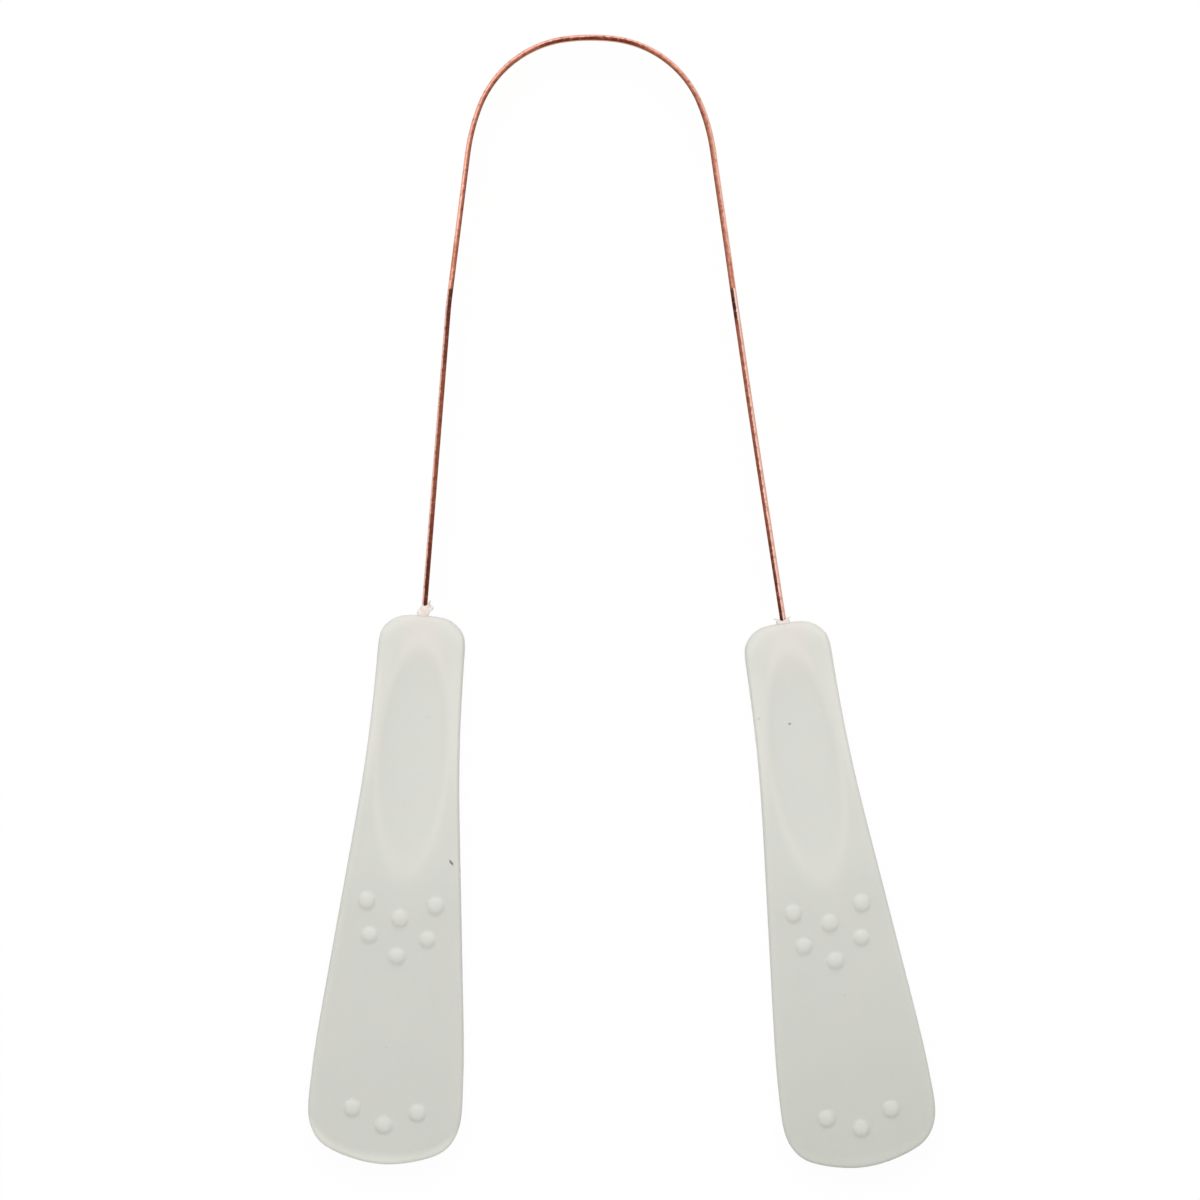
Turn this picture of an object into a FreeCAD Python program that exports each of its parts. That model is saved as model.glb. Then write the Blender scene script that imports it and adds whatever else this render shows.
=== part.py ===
import FreeCAD, Part
import math
import os

# Tongue scraper: a springy copper strip bent to a U, with a moulded plastic handle on each end.
# It lies on the flat backs of its handles. X runs across it, Y along it towards the crown of the U,
# and Z up from the backs. The origin is the middle of its outline, on the plane of the backs.
# All lengths are in millimetres and all angles in degrees.

V = FreeCAD.Vector
UP = V(0, 0, 1)

# Copper strip, seen on its edge: radii and drops below the crown are those of its middle line
strip_thickness = 0.6
strip_width = 5.0
crown_radius = 24.6
crown_angle = 7.0
shoulder_radius = 13.3
shoulder_angle = 68.4
lead_radius = 25.0
bow_lean_angle = 7.55

# The polished bow ends at a slight bend by hand, and each limb then leans its own way to its handle
polished_drop = 32.5
kink_radius = 30.0
left_lean_angle = 4.9
right_lean_angle = 8.4
left_mouth_drop = 71.85
right_mouth_drop = 73.05

# Places where each side of the strip flexes, and the hairline that parts the two lengths there
flex_angle = 45.0
flex_gap = 0.1

# Tang inside each handle, with holes that the plastic runs through
entry_length = 2.0
tang_length = 24.0
tang_width = 3.8
anchor_diameter = 1.6
anchor_shares = (0.35, 0.8)

# Handle outline: a corner is the length of edge that its rounding takes
handle_length = 68.6
neck_width = 10.7
waist_width = 11.1
tail_width = 19.1
waist_share = 0.24
flare_share = 0.825
mouth_crown = 0.45
mouth_corner = 3.2
tail_crown = 3.0
tail_corner = 4.0

# How far each gentle bend of the outline reaches along the run beside it
mouth_reach_share = 0.3
waist_reach_share = 0.5
flare_reach_share = 0.45
tail_reach_share = 0.45

# Handle thickness: level over the thumb rest, then falling to the tail
neck_thickness = 8.0
tail_thickness = 5.2
slope_share = 0.48
slope_reach = 4.0
mouth_rounding = 2.5
front_rounding = 1.2
back_rounding = 1.0

# Thumb rest, an oval hollow in the front
rest_length = 28.8
rest_width = 9.4
rest_depth = 0.9
rest_start = 4.2
rest_overrun_share = 1.1

# Grip dots, three to a chevron that points at the tail: arm drop, tip drop and half spread as shares
dot_diameter = 2.1
dot_height = 0.5
chevron_shares = ((0.525, 0.552, 0.45), (0.586, 0.621, 0.38), (0.902, 0.93, 0.427))

# Lip of plastic round the strip at each mouth, taller on the left
lip_width = 1.9
lip_wall = 0.4
lip_sink = 1.0
left_lip_height = 1.3
right_lip_height = 0.45

strip_middle = neck_thickness / 2
facing_share = 0.5
down_angle = 90.0


def along(turn):
    """Way along the right half of the strip once it has turned down by an angle."""
    angle = math.radians(turn)
    return V(math.cos(angle), -math.sin(angle), 0)


def inward(turn):
    """Way from the strip towards the inside of the U at the same place."""
    angle = math.radians(turn)
    return V(-math.sin(angle), -math.cos(angle), 0)


def round_section(point, turn):
    """Section of the strip with full-round edges."""
    side = inward(turn) * (strip_thickness / 2)
    edge = UP * (strip_width / 2)
    flat = UP * ((strip_width - strip_thickness) / 2)
    corners = [point - side - flat, point + side - flat, point + side + flat, point - side + flat]
    back = Part.Arc(corners[0], point - edge, corners[1]).toShape()
    inner = Part.LineSegment(corners[1], corners[2]).toShape()
    front = Part.Arc(corners[2], point + edge, corners[3]).toShape()
    outer = Part.LineSegment(corners[3], corners[0]).toShape()
    return Part.Face(Part.Wire([back, inner, front, outer]))


def square_section(point, turn, width=strip_width):
    """Section of the strip with square edges."""
    side = inward(turn) * (strip_thickness / 2)
    edge = UP * (width / 2)
    corners = [point - side - edge, point + side - edge, point + side + edge, point - side + edge]
    return Part.Face(Part.makePolygon(corners + corners[:1]))


def bend(section, centre, radius, turn, end_turn):
    """Length of strip bent about a centre, from one turn to another. A bend outwards has a radius below 0."""
    return section(centre - inward(turn) * radius, turn).revolve(centre, UP, turn - end_turn)


def join(solids):
    """One solid out of several that touch."""
    return solids[0].multiFuse(solids[1:]).removeSplitter()


def mirrored(shape):
    """The same shape on the left."""
    return shape.mirror(V(0, 0, 0), V(1, 0, 0))


# Middle line of the right half of the bow, from the crown down
bow_turn = down_angle - bow_lean_angle
flex_half_turn = math.degrees(flex_gap / 2 / shoulder_radius)
crown_centre = V(0, -crown_radius, strip_middle)
shoulder_centre = crown_centre - inward(crown_angle) * (crown_radius - shoulder_radius)
lead_centre = shoulder_centre + inward(shoulder_angle) * (lead_radius - shoulder_radius)
lead_end = lead_centre - inward(bow_turn) * lead_radius
flex_point = shoulder_centre - inward(flex_angle) * shoulder_radius


def at_drop(start, turn, drop):
    """Point at a drop below the crown, straight on from a start."""
    way = along(turn)
    return start + way * ((-drop - start.y) / way.y)


polish_end = at_drop(lead_end, bow_turn, polished_drop)


def limb_line(lean):
    """Bend below the polished bow: its centre, its radius, and its end, where the straight limb starts."""
    turn = down_angle - lean
    radius = math.copysign(kink_radius, turn - bow_turn)
    centre = polish_end + inward(bow_turn) * radius
    return centre, radius, centre - inward(turn) * radius


def mouth_point(lean, mouth_drop):
    """Point where the middle line enters its handle."""
    return at_drop(limb_line(lean)[2], down_angle - lean, mouth_drop)


def make_arch():
    """Crown and shoulders, the length of strip between the two flexing places."""
    crown = bend(round_section, crown_centre, crown_radius, -crown_angle, crown_angle)
    shoulder_end = flex_angle - flex_half_turn
    right = bend(round_section, shoulder_centre, shoulder_radius, crown_angle, shoulder_end)
    return join([crown, right, mirrored(right)])


def make_limb(lean, mouth_drop):
    """Right length of strip, from the flexing place through a handle's mouth to the end of its tang."""
    turn = down_angle - lean
    way = along(turn)
    kink_centre, kink, limb_start = limb_line(lean)
    mouth = mouth_point(lean, mouth_drop)
    entry_end = mouth + way * entry_length
    tang = square_section(entry_end, turn, tang_width).extrude(way * (tang_length - entry_length))
    for share in anchor_shares:
        hole_middle = mouth + way * (tang_length * share)
        hole_start = hole_middle - inward(turn) * strip_thickness
        hole_run = 2 * strip_thickness
        tang = tang.cut(Part.makeCylinder(anchor_diameter / 2, hole_run, hole_start, inward(turn)))
    return join([
        bend(round_section, shoulder_centre, shoulder_radius, flex_angle + flex_half_turn, shoulder_angle),
        bend(round_section, lead_centre, lead_radius, shoulder_angle, bow_turn),
        round_section(lead_end, bow_turn).extrude(polish_end - lead_end),
        bend(square_section, kink_centre, kink, bow_turn, turn),
        square_section(limb_start, turn).extrude(entry_end - limb_start),
        tang,
    ])


def rounded_face(corners):
    """Face inside a closed outline of corners, each a point and the length of edge its rounding takes."""
    arcs = []
    for index, (point, reach) in enumerate(corners):
        back = (corners[index - 1][0] - point).normalize()
        ahead = (corners[(index + 1) % len(corners)][0] - point).normalize()
        half_angle = back.getAngle(ahead) / 2
        inset = reach * (1 - math.sin(half_angle)) / math.cos(half_angle)
        arcs.append((point + back * reach, point + (back + ahead).normalize() * inset, point + ahead * reach))
    edges = []
    for index, (start, middle, end) in enumerate(arcs):
        edges.append(Part.LineSegment(arcs[index - 1][2], start).toShape())
        if start.distanceToPoint(end) > 0:
            edges.append(Part.Arc(start, middle, end).toShape())
    return Part.Face(Part.Wire(edges))


def rim(solid, way):
    """Edges round the faces of a solid that look one way."""
    edges = []
    for face in solid.Faces:
        start_u, end_u, start_v, end_v = face.ParameterRange
        if face.normalAt((start_u + end_u) / 2, (start_v + end_v) / 2).dot(way) > facing_share:
            edges += face.Edges
    return [edge for edge in edges if sum(edge.isSame(other) for other in edges) == 1]


def crowned_end(crown, half_width, reach_share):
    """Rounding of an end: the edge it takes, and how far the sharp tip stands past the rounded one."""
    reach = math.hypot(crown, half_width) * reach_share
    return reach, reach * math.tan(math.atan2(crown, half_width) / 2)


def handle_plan():
    """Outline of a handle seen from the front, with its mouth at the top."""
    neck = neck_width / 2
    waist = waist_width / 2
    tail = tail_width / 2
    mouth_reach, mouth_tip = crowned_end(mouth_crown, neck, mouth_reach_share)
    tail_reach, tail_excess = crowned_end(tail_crown, tail, tail_reach_share)
    tail_tip = handle_length + tail_excess
    mouth_drop = mouth_crown - mouth_tip
    waist_drop = handle_length * waist_share
    flare_drop = handle_length * flare_share
    tail_drop = tail_tip - tail_crown
    right = [
        (V(neck, -mouth_drop, 0), mouth_corner),
        (V(waist, -waist_drop, 0), (waist_drop - mouth_drop) * waist_reach_share),
        (V(tail, -flare_drop, 0), (tail_drop - flare_drop) * flare_reach_share),
        (V(tail, -tail_drop, 0), tail_corner),
    ]
    left = [(V(-point.x, point.y, 0), reach) for point, reach in reversed(right)]
    return [(V(0, mouth_tip, 0), mouth_reach)] + right + [(V(0, -tail_tip, 0), tail_reach)] + left


def front_height(drop):
    """Height of the handle's front at a drop below its mouth."""
    start = handle_length * slope_share
    fall = (neck_thickness - tail_thickness) / (handle_length - start)
    return neck_thickness - max(drop - start, 0) * fall


def handle_body():
    """Handle without its thumb rest and dots."""
    side = -tail_width / 2
    top = mouth_crown
    end = -handle_length - mouth_crown
    profile = rounded_face([
        (V(side, top, 0), 0),
        (V(side, top, neck_thickness), mouth_rounding),
        (V(side, -handle_length * slope_share, neck_thickness), slope_reach),
        (V(side, end, front_height(-end)), 0),
        (V(side, end, 0), 0),
    ])
    block = rounded_face(handle_plan()).extrude(UP * neck_thickness)
    body = block.common(profile.extrude(V(tail_width, 0, 0)))
    body = body.makeFillet(front_rounding, rim(body, UP))
    return body.makeFillet(back_rounding, rim(body, -UP))


def thumb_rest():
    """Barrel that hollows the thumb rest: its arcs run along and across the oval."""
    half_length = rest_length / 2
    middle = -(rest_start + half_length)
    across = ((rest_width / 2) ** 2 + rest_depth ** 2) / (2 * rest_depth)
    lengthwise = (half_length ** 2 + rest_depth ** 2) / (2 * rest_depth)
    floor = neck_thickness - rest_depth
    axis = floor + across
    reach = half_length * rest_overrun_share
    rise = floor + lengthwise - math.sqrt(lengthwise ** 2 - reach ** 2)
    upper = V(0, middle + reach, rise)
    lower = V(0, middle - reach, rise)
    upper_axis = V(0, upper.y, axis)
    lower_axis = V(0, lower.y, axis)
    hollow = Part.Arc(upper, V(0, middle, floor), lower).toShape()
    ends = Part.makePolygon([lower, lower_axis, upper_axis, upper]).Edges
    return Part.Face(Part.Wire([hollow] + ends)).revolve(lower_axis, V(0, 1, 0), 360)


def grip_dots():
    """Balls whose caps stand proud of the front as grip dots."""
    ball_radius = ((dot_diameter / 2) ** 2 + dot_height ** 2) / (2 * dot_height)
    balls = []
    for arm_share, tip_share, spread_share in chevron_shares:
        spread = tail_width / 2 * spread_share
        for across, share in ((-spread, arm_share), (0, tip_share), (spread, arm_share)):
            drop = handle_length * share
            middle = V(across, -drop, front_height(drop) + dot_height - ball_radius)
            balls.append(Part.makeSphere(ball_radius, middle))
    return balls


def mouth_lip(height):
    """Lip that the moulding leaves round the strip at the mouth."""
    depth = strip_width + 2 * lip_wall
    corner = V(-lip_width / 2, -lip_sink, strip_middle - depth / 2)
    lip = Part.makeBox(lip_width, height + lip_sink, depth, corner)
    return lip.makeFillet(lip_wall, rim(lip, V(0, 1, 0)))


def make_handle(lean, mouth_drop, lip_height, strip):
    """Handle set on the right length of strip, which it is moulded round."""
    mouth = mouth_point(lean, mouth_drop)
    body = handle_body().cut(thumb_rest())
    handle = body.multiFuse(grip_dots() + [mouth_lip(lip_height)])
    handle.rotate(V(0, 0, 0), UP, lean)
    handle.translate(V(mouth.x, mouth.y, 0))
    return handle.cut(strip)


left_limb = make_limb(left_lean_angle, left_mouth_drop)
left_handle = make_handle(left_lean_angle, left_mouth_drop, left_lip_height, left_limb)
right_limb = make_limb(right_lean_angle, right_mouth_drop)
right_handle = make_handle(right_lean_angle, right_mouth_drop, right_lip_height, right_limb)
parts = {
    "scraper_arch": make_arch(),
    "left_limb": mirrored(left_limb),
    "right_limb": right_limb,
    "left_handle": mirrored(left_handle),
    "right_handle": right_handle,
}

# The finished tool is set about the middle of its outline
outline = Part.makeCompound(list(parts.values())).optimalBoundingBox(False)
shift = V(-outline.Center.x, -outline.Center.y, 0)
os.makedirs("parts", exist_ok=True)
for name, shape in parts.items():
    shape.translate(shift)
    shape.exportStep("parts/" + name + ".step")
    print(name, len(shape.Solids), shape.isValid(), round(shape.Volume, 2), shape.BoundBox)
print("size", outline.XLength, outline.YLength, outline.ZLength)
print("right flexing place", flex_point + shift, "crown", shift)
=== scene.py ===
import math
import bmesh
import bpy
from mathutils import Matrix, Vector


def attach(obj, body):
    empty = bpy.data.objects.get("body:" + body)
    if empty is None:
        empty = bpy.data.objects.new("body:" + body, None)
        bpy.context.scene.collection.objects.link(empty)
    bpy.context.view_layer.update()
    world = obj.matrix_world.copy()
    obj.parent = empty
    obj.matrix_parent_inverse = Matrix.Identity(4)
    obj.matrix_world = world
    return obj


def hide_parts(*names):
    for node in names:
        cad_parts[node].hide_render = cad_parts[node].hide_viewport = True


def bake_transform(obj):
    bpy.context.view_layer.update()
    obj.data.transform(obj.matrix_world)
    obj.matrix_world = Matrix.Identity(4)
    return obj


# Tongue scraper: a bent copper strip with a moulded plastic handle on each end, lying on the handles' backs.
# Lengths are in millimetres and angles in degrees until they meet Blender, which works in metres and radians.
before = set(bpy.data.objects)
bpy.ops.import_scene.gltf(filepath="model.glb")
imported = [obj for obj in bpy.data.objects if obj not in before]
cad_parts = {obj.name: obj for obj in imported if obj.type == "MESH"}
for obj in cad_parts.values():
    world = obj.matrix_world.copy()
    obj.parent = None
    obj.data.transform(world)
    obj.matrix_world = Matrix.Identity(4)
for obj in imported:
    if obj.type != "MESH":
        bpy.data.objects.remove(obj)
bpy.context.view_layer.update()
MM = 0.001

# Copper strip: the middle of its crown, its section, how far it lies outside its line, and its rounded corners
CROWN = (-3.164, 70.384)
STRIP_HEIGHT = 4.0
STRIP_THICKNESS = 0.66
STRIP_WIDTH = 5.0
STRIP_OFFSET = 0.04
CORNER_SHARE = 0.47
CORNER_STEPS = 5

# Line of the strip's right half from the crown down: the turn at which each arc of the bow ends and its radius, the
# drop to the slight bend of the side, the radius of that bend, and the length that goes on into the handle
BOW_ARCS = ((7.0, 24.6), (68.4, 13.3), (82.45, 25.0))
BEND_DROP = 32.5
BEND_RADIUS = 30.0
HIDDEN_LENGTH = 3.0

# Steps of that line: degrees and fewest steps on the bow, then steps of the lengths below it
ARC_STEP = 1.6
ARC_STEPS_LEAST = 2
UPPER_STEPS = 6
BEND_STEPS = 3
LIMB_STEPS = 10

# Twist: how far the edges of each side go out of line, and the drops below the crown over which they do
EDGE_TWISTS = {"left": 0.03, "right": 0.07}
TWIST_DROPS = (1.0, 2.0, 3.5, 5.5, 8.0)

# Bulge: how far the middle of each side stands out of its line, between which levels, and its reach
SIDE_BULGES = {"left": 0.0, "right": 0.09}
BULGE_LEVELS = (37.0, 41.5)
BULGE_REACH = 16.0

# Each side: name, way across, turn of the lower limb, place of the handle's mouth
SIDES = (
    ("left", -1, 85.1, (-24.251, -1.466)),
    ("right", 1, 81.6, (20.501, -2.666)),
)

# Handle: rows down from the mouth with half width and height, and the places of its columns and levels
HANDLE_LENGTH = 68.6
NECK_HALF = 5.35
NECK_HEIGHT = 8.0
HANDLE_ROWS = (
    (2.6, 5.40, 7.8), (5.2, 5.41, 8.0), (8.5, 5.45, 8.0), (12.5, 5.55, 8.0), (17.0, 5.76, 8.0),
    (21.5, 6.08, 8.0), (26.0, 6.50, 8.0), (30.0, 6.90, 8.0), (34.0, 7.30, 7.92), (39.0, 7.80, 7.52),
    (44.5, 8.34, 7.09), (50.0, 8.89, 6.66), (55.0, 9.35, 6.27), (59.5, 9.54, 5.91), (63.5, 9.70, 5.60),
)
COLUMN_SHARES = (0.0, 0.36, 0.70)
LEVEL_SHARES = (0.14, 0.5, 0.85)

# Ends of the handle: drop, half width, height, and how far each column from the middle to the side is moved along
MOUTH_END = (0.0, 4.72, 7.1, (0.03, -0.06, -0.23, -1.39))
TAIL_END = (HANDLE_LENGTH, 8.15, 5.25, (-0.12, 0.24, 1.04, 2.17))

# Rims that hold the roundings of the front and the back, and the lift of the front just below the mouth
FRONT_RIM = 0.8
BACK_RIM = 0.9
MOUTH_LIFT = 0.12
MOUTH_LIFT_DROPS = (0.5, 2.4)
MOUTH_LIFT_ABOVE = 6.9

# Thumb rest: depth at each row on the middle, the inner and the outer column
REST_DEPTHS = (
    (5.2, 0.14, 0.04, 0.0), (8.5, 0.39, 0.30, 0.07), (12.5, 0.55, 0.51, 0.25), (17.0, 0.63, 0.59, 0.31),
    (21.5, 0.63, 0.58, 0.27), (26.0, 0.54, 0.42, 0.08), (30.0, 0.29, 0.10, 0.0),
)
REST_ABOVE = 7.5

# Edge of the thumb rest: how far down its middle is, half its width and length, the step at its edge, the share of
# the oval that the step presses in, and the shares between which it is then softened
REST_DROP = 17.6
REST_HALF = (4.15, 13.4)
REST_STEP = 0.05
REST_PRESSED = 0.96
REST_SOFTENED = (0.7, 1.25)
REST_EDGE_ABOVE = 5.5
REST_SOFT_ROUNDS = 6

# Grip dots: size, the dots of each chevron across and down, and the fine mesh that they are pulled from
DOT_RADIUS = 0.99
DOT_HEIGHT = 0.25
DOT_PLACES = (
    (-4.3, 36.0), (0.0, 37.9), (4.3, 36.0),
    (-3.63, 40.2), (0.0, 42.6), (3.63, 40.2),
    (-4.08, 61.9), (0.0, 63.8), (4.08, 61.9),
)
DOT_FINE_MARGIN = 0.5
DOT_FINE_CUTS = 3
DOT_FACING = 0.7
DOT_PEAK = 0.12
DOT_SOFT_MARGIN = 0.3
DOT_SOFT_ROUNDS = 3
DOT_ABOVE = 3

# Flash at the mouths: the outline of each seen from the front, in the handle's own frame, the height and share of
# the outline of each layer, and the middle that the layers narrow to
FLASH_OUTLINES = {
    "left": (
        (-0.5, -1.3), (-0.5, -0.3), (-1.15, 0.2), (-0.5, 0.75), (-0.42, 1.35), (0.05, 1.1), (0.35, 1.35),
        (0.78, 2.1), (0.5, 1.15), (1.4, 0.95), (0.58, 0.4), (0.52, -0.3), (0.5, -1.3),
    ),
    "right": (
        (-0.5, -1.2), (-0.52, -0.15), (-1.2, 0.08), (-0.5, 0.15), (-1.5, 0.72), (-0.36, 0.36), (0.0, 0.1),
        (0.36, 0.36), (1.45, 0.72), (0.5, 0.15), (1.1, 0.06), (0.52, -0.15), (0.5, -1.2),
    ),
}
FLASH_LAYERS = ((1.25, 0.75), (1.6, 1.0), (3.2, 0.9), (4.6, 1.05), (6.2, 1.0), (6.66, 0.95), (6.76, 0.6))
FLASH_MIDDLE = (0, -0.3)

# Finish of the meshes: rounds of subdivision, the angle up to which edges are shaded soft, and how softening acts
HANDLE_ROUNDS = 3
FLASH_ROUNDS = 2
STRIP_SOFT_ANGLE = 40
ALL_SOFT_ANGLE = 180
SOFTENING = 0.5
FACING = 0.5
SAME_PLACE = 0.01


def way_along(turn):
    """Way along the right half of the strip once it has turned down by an angle."""
    return Vector((math.cos(math.radians(turn)), -math.sin(math.radians(turn)), 0))


def way_inward(turn):
    """Way from the strip to the inside of the U at the same place."""
    return Vector((-math.sin(math.radians(turn)), -math.cos(math.radians(turn)), 0))


def handle_lean(side, limb_turn):
    """Angle that a handle leans by, in line with its limb."""
    return side * (90 - limb_turn)


def fresh_piece(name):
    """Names the primitive just added, leaves its place in its mesh and opens it for editing."""
    bpy.ops.object.transform_apply(location=True, rotation=True, scale=True)
    piece = bpy.context.object
    piece.name = name
    piece.data.name = name
    bpy.ops.object.mode_set(mode="EDIT")
    return piece


def pick(test):
    """Selects the points of the open piece whose place, in millimetres, passes a test."""
    mesh = bpy.context.edit_object.data
    shape = bmesh.from_edit_mesh(mesh)
    for point in shape.verts:
        point.select = bool(test(point.co / MM))
    shape.select_mode = {"VERT"}
    shape.select_flush_mode()
    bmesh.update_edit_mesh(mesh)


def pick_faces(test):
    """Selects the faces of the open piece whose middle, in millimetres, and normal pass a test."""
    bpy.ops.mesh.select_mode(type="FACE")
    mesh = bpy.context.edit_object.data
    shape = bmesh.from_edit_mesh(mesh)
    for face in shape.faces:
        face.select_set(False)
    for face in shape.faces:
        face.select_set(bool(test(face.calc_center_median() / MM, face.normal)))
    bmesh.update_edit_mesh(mesh)


def shift(offset):
    """Moves what is selected."""
    bpy.ops.transform.translate(value=Vector(offset) * MM)


def pull(offset, reach, falloff):
    """Moves what is selected and, less and less, what is within reach of it."""
    bpy.ops.transform.translate(
        value=Vector(offset) * MM,
        use_proportional_edit=True,
        proportional_edit_falloff=falloff,
        proportional_size=reach * MM,
    )


def stretch(factors, centre):
    """Scales what is selected about a centre."""
    bpy.ops.transform.resize(value=factors, center_override=Vector(centre) * MM)


def cut(place, normal):
    """Cuts the whole of the open piece along a plane."""
    bpy.ops.mesh.select_all(action="SELECT")
    bpy.ops.mesh.bisect(plane_co=Vector(place) * MM, plane_no=normal)


def soften(rounds):
    """Evens out what is selected."""
    bpy.ops.mesh.vertices_smooth(factor=SOFTENING, repeat=rounds)


def near(value, target):
    """Whether two lengths are the same."""
    return abs(value - target) < SAME_PLACE


def finish_shape(piece, levels, angle):
    """Turns the faces outwards, closes the edit, rounds the piece and shades it soft."""
    bpy.ops.mesh.select_all(action="SELECT")
    bpy.ops.mesh.normals_make_consistent(inside=False)
    bpy.ops.object.mode_set(mode="OBJECT")
    if levels:
        rounding = piece.modifiers.new("rounding", "SUBSURF")
        rounding.levels = levels
        rounding.render_levels = levels
        bpy.ops.object.modifier_apply(modifier=rounding.name)
    bpy.ops.object.shade_smooth_by_angle(angle=math.radians(angle))


def bend_on(place, turn, end_turn, radius, steps):
    """Carries the end of the strip round an arc, and gives the place where the arc ends."""
    centre = place + way_inward(turn) * radius
    bpy.ops.mesh.spin(
        steps=steps, angle=math.radians(end_turn - turn), center=centre * MM, axis=(0, 0, 1)
    )
    return centre - way_inward(end_turn) * radius


def run_on(run, steps):
    """Carries the end of the strip along a straight length."""
    for _ in range(steps):
        bpy.ops.mesh.extrude_region_move(TRANSFORM_OT_translate={"value": run * (MM / steps)})


def make_strip(name, side, limb_turn, mouth):
    """Half of the strip from the crown into a handle, made on the right and turned over for the left."""
    middle = (CROWN[0], CROWN[1] + STRIP_OFFSET, STRIP_HEIGHT)
    bpy.ops.object.select_all(action="DESELECT")
    bpy.ops.mesh.primitive_plane_add(size=1, location=Vector(middle) * MM, rotation=(0, math.radians(90), 0))
    strip = fresh_piece(name + "_strip")
    bpy.ops.mesh.select_all(action="SELECT")
    stretch((1, STRIP_THICKNESS * MM, STRIP_WIDTH * MM), middle)
    bpy.ops.mesh.bevel(offset=STRIP_THICKNESS * CORNER_SHARE * MM, segments=CORNER_STEPS, affect="VERTICES")
    # Share across the strip, from -1 on the outside of the U to 1 on the inside, which each bend carries on
    shape = bmesh.from_edit_mesh(strip.data)
    inward = shape.verts.layers.float.new("inward")
    for point in shape.verts:
        point[inward] = (middle[1] - point.co.y / MM) / (STRIP_THICKNESS / 2)
    bmesh.update_edit_mesh(strip.data)
    # The bow, the straight length below it, the slight bend and the limb
    bpy.ops.mesh.select_all(action="SELECT")
    place = Vector((*CROWN, STRIP_HEIGHT))
    turn = 0
    for end_turn, radius in BOW_ARCS:
        steps = max(ARC_STEPS_LEAST, round((end_turn - turn) / ARC_STEP))
        place = bend_on(place, turn, end_turn, radius, steps)
        turn = end_turn
    run = way_along(turn) * ((CROWN[1] - BEND_DROP - place.y) / way_along(turn).y)
    run_on(run, UPPER_STEPS)
    bend_radius = math.copysign(BEND_RADIUS, limb_turn - turn)
    place = bend_on(place + run, turn, limb_turn, bend_radius, BEND_STEPS)
    run = way_along(limb_turn) * ((mouth[1] - place.y) / way_along(limb_turn).y + HIDDEN_LENGTH)
    run_on(run, LIMB_STEPS)
    # The twist, which turns the outside of the side a little up
    for drop in TWIST_DROPS:
        for way in (1, -1):
            pick(lambda place: (place.z - STRIP_HEIGHT) * way > 0 and place.y < CROWN[1] - drop)
            shift((-way * EDGE_TWISTS[name] / len(TWIST_DROPS), 0, 0))
    # The bulge, which carries the middle of the side a little out
    pick(lambda place: BULGE_LEVELS[0] < place.y < BULGE_LEVELS[1])
    pull((SIDE_BULGES[name], 0, 0), BULGE_REACH, "SMOOTH")
    bpy.ops.mesh.select_all(action="SELECT")
    if side < 0:
        stretch((-1, 1, 1), (*CROWN, STRIP_HEIGHT))
    finish_shape(strip, 0, STRIP_SOFT_ANGLE)
    return strip


def make_handle():
    """One handle, with the middle of its mouth on the origin and its tail towards -Y."""
    bpy.ops.object.select_all(action="DESELECT")
    bpy.ops.mesh.primitive_cube_add(
        size=1,
        location=Vector((0, -HANDLE_LENGTH / 2, NECK_HEIGHT / 2)) * MM,
        scale=Vector((2 * NECK_HALF, HANDLE_LENGTH, NECK_HEIGHT)) * MM,
    )
    handle = fresh_piece("handle")
    for drop, *_ in HANDLE_ROWS:
        cut((0, -drop, 0), (0, 1, 0))
    for share in COLUMN_SHARES:
        for across in {share, -share}:
            cut((across * NECK_HALF, 0, 0), (1, 0, 0))
    for share in LEVEL_SHARES:
        cut((0, 0, share * NECK_HEIGHT), (0, 0, 1))
    # Outline and height, row by row, and then the rounded ends, column by column
    for drop, half_width, height in (MOUTH_END[:3], TAIL_END[:3], *HANDLE_ROWS):
        pick(lambda place: near(place.y, -drop))
        stretch((half_width / NECK_HALF, 1, height / NECK_HEIGHT), (0, -drop, 0))
    for drop, half_width, _, offsets in (MOUTH_END, TAIL_END):
        for share, offset in zip((*COLUMN_SHARES, 1.0), offsets):
            pick(lambda place: near(abs(place.x), share * half_width) and near(place.y, -drop))
            shift((0, offset, 0))
    # Rims of the front and the back, and the lift below the mouth
    pick_faces(lambda middle, normal: normal.z > FACING)
    bpy.ops.mesh.inset(thickness=FRONT_RIM * MM, depth=0)
    pick_faces(lambda middle, normal: normal.z < -FACING)
    bpy.ops.mesh.inset(thickness=BACK_RIM * MM, depth=0)
    bpy.ops.mesh.select_mode(type="VERT")
    pick(
        lambda place: MOUTH_LIFT_DROPS[0] < -place.y < MOUTH_LIFT_DROPS[1] and place.z > MOUTH_LIFT_ABOVE
    )
    shift((0, 0, MOUTH_LIFT))
    # Thumb rest pressed into the front
    half_widths = {drop: half_width for drop, half_width, _ in HANDLE_ROWS}
    for drop, *depths in REST_DEPTHS:
        for share, depth in zip(COLUMN_SHARES, depths):
            column = share * half_widths[drop]
            pick(lambda place: near(place.y, -drop) and near(abs(place.x), column) and place.z > REST_ABOVE)
            shift((0, 0, -depth))
    finish_shape(handle, HANDLE_ROUNDS, ALL_SOFT_ANGLE)
    mark_front()
    return handle


def in_rest(place):
    """Share of the way from the middle of the thumb rest to its edge."""
    return math.hypot(place.x / REST_HALF[0], (place.y + REST_DROP) / REST_HALF[1])


def from_dot(place):
    """How far a place is from the middle of the nearest grip dot, seen from the front."""
    return min(math.hypot(place.x - across, place.y + drop) for across, drop in DOT_PLACES)


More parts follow.
